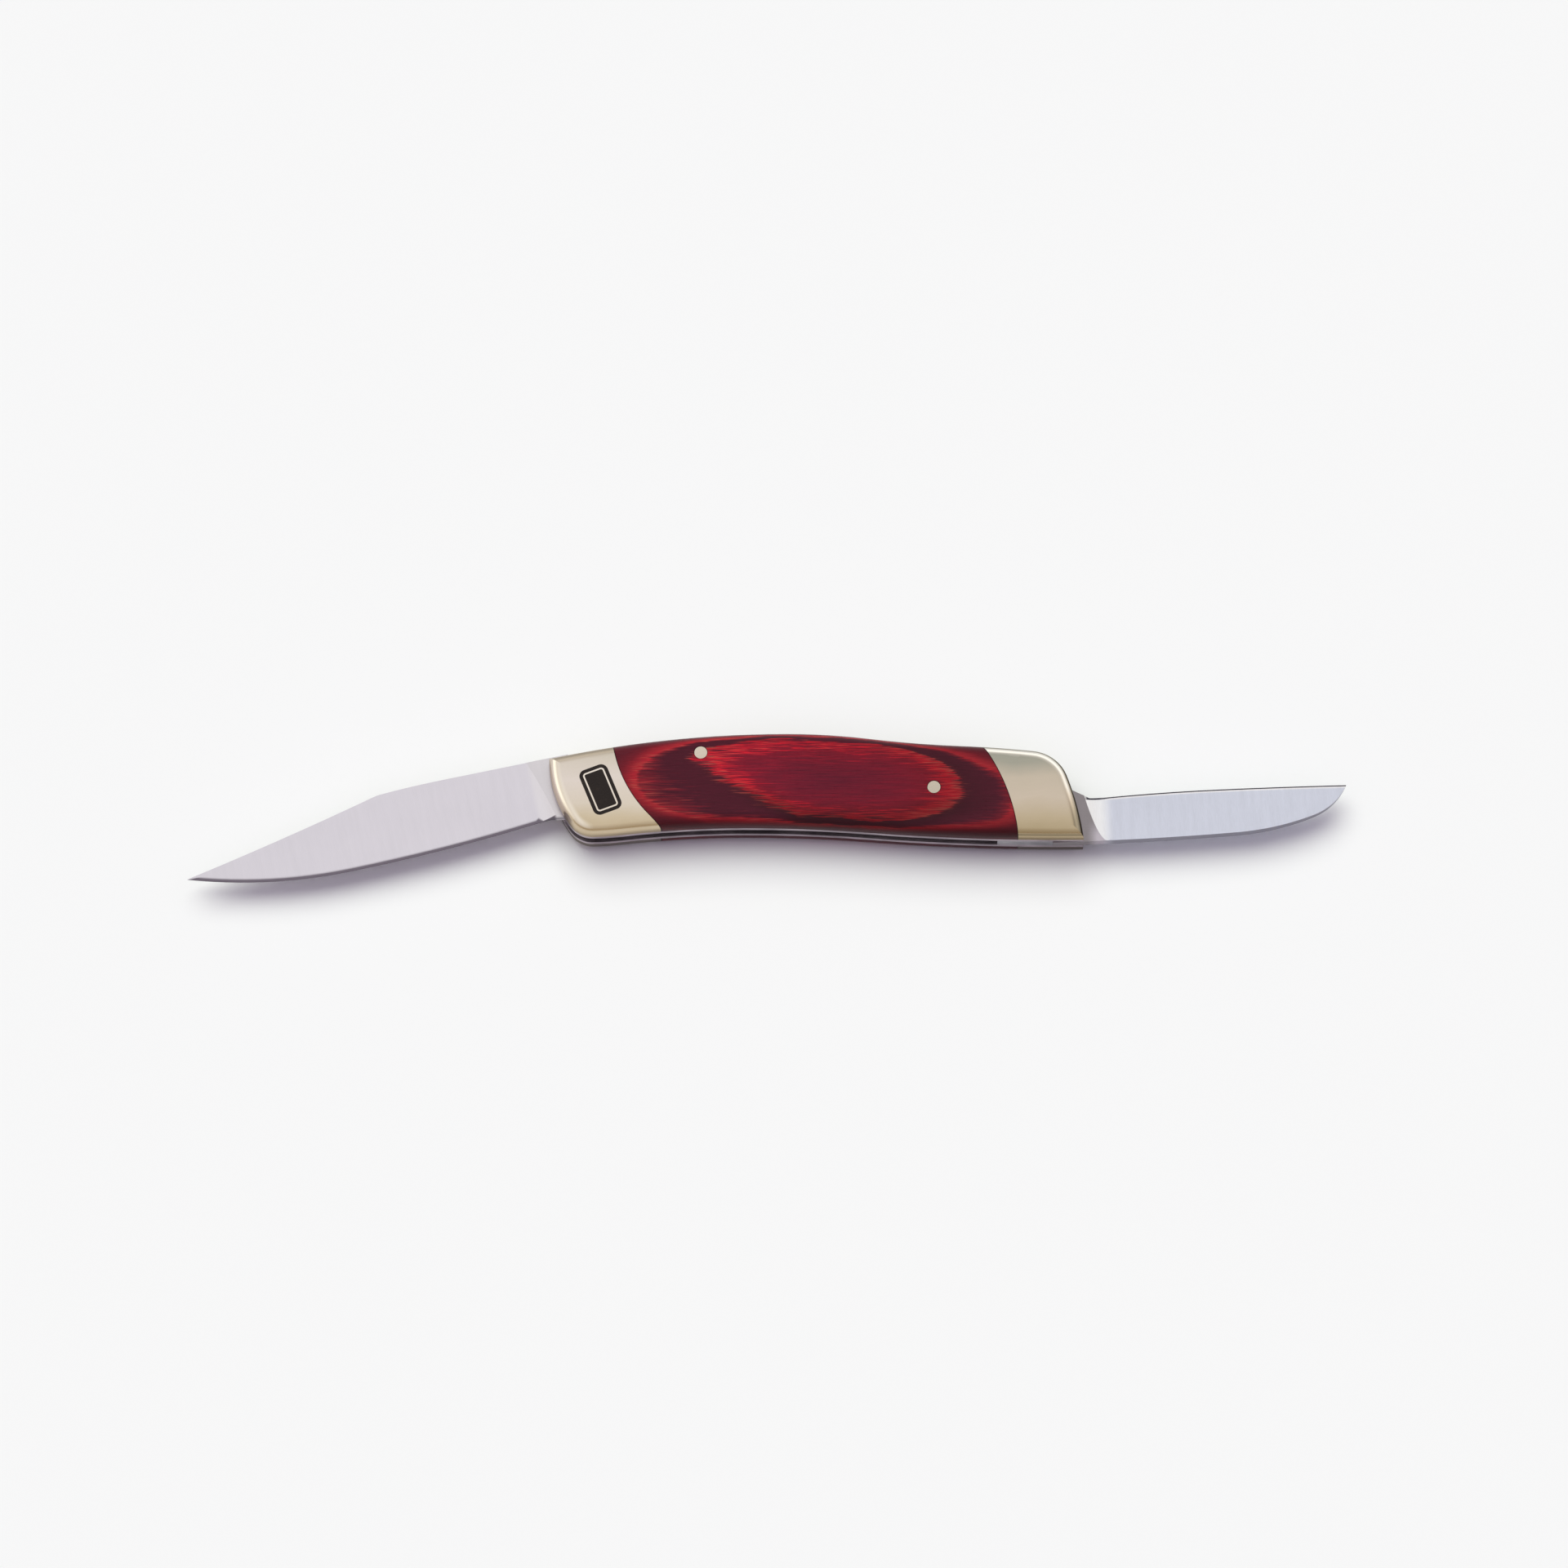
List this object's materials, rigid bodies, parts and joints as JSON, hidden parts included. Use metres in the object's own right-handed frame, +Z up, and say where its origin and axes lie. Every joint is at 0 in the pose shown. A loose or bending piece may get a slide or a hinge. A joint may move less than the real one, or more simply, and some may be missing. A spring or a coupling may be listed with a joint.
{
  "type": "folding pocket knife",
  "caption": "Slip-joint folding pocket knife with a clip-point blade and a straight-edged pen blade that open at opposite ends of a bolstered red wood handle.",
  "frame": {"origin": "middle of the handle on the rear flat face that the knife lies on", "axes": "+X along the handle towards the pen blade, +Y across it towards the back of the clip blade, +Z up out of the front face"},
  "size_m": [0.1998, 0.0265, 0.0093],
  "materials": {
    "wood_scale": "polished laminated dyed wood",
    "bolster_metal": "polished nickel silver",
    "liner_metal": "satin",
    "spring_steel": "satin",
    "clip_steel": "satin, ground across the blade",
    "pen_steel": "satin, ground across the blade",
    "pin_metal": "burnished nickel silver",
    "plaque_enamel": "dark enamel fill"
  },
  "bodies": {
    "handle": {"front_scale": "wood_scale", "rear_scale": "wood_scale", "front_liner": "liner_metal", "rear_liner": "liner_metal", "front_clip_bolster": "bolster_metal", "rear_clip_bolster": "bolster_metal", "front_pen_bolster": "bolster_metal", "rear_pen_bolster": "bolster_metal", "bolster_plaque": "plaque_enamel", "back_spring": "spring_steel", "clip_pivot_pin": "pin_metal", "pen_pivot_pin": "pin_metal", "upper_scale_pin": "pin_metal", "lower_scale_pin": "pin_metal", "front_clip_rivets": "pin_metal", "rear_clip_rivets": "pin_metal", "front_pen_rivets": "pin_metal", "rear_pen_rivets": "pin_metal"},
    "clip_blade": {"clip_blade": "clip_steel"},
    "pen_blade": {"pen_blade": "pen_steel"}
  },
  "joints": [
    {"name": "clip_blade_fold", "type": "hinge", "parent": "handle", "child": "clip_blade", "pos_m": [-0.0395, 0, 0.00462], "axis": [0, 0, 1], "range_deg": [0, 162.5], "deforming": ["back_spring"]},
    {"name": "pen_blade_fold", "type": "hinge", "parent": "handle", "child": "pen_blade", "pos_m": [0.0388, 0, 0.00462], "axis": [0, 0, 1], "range_deg": [0, 170.3], "deforming": ["back_spring"]}
  ]
}
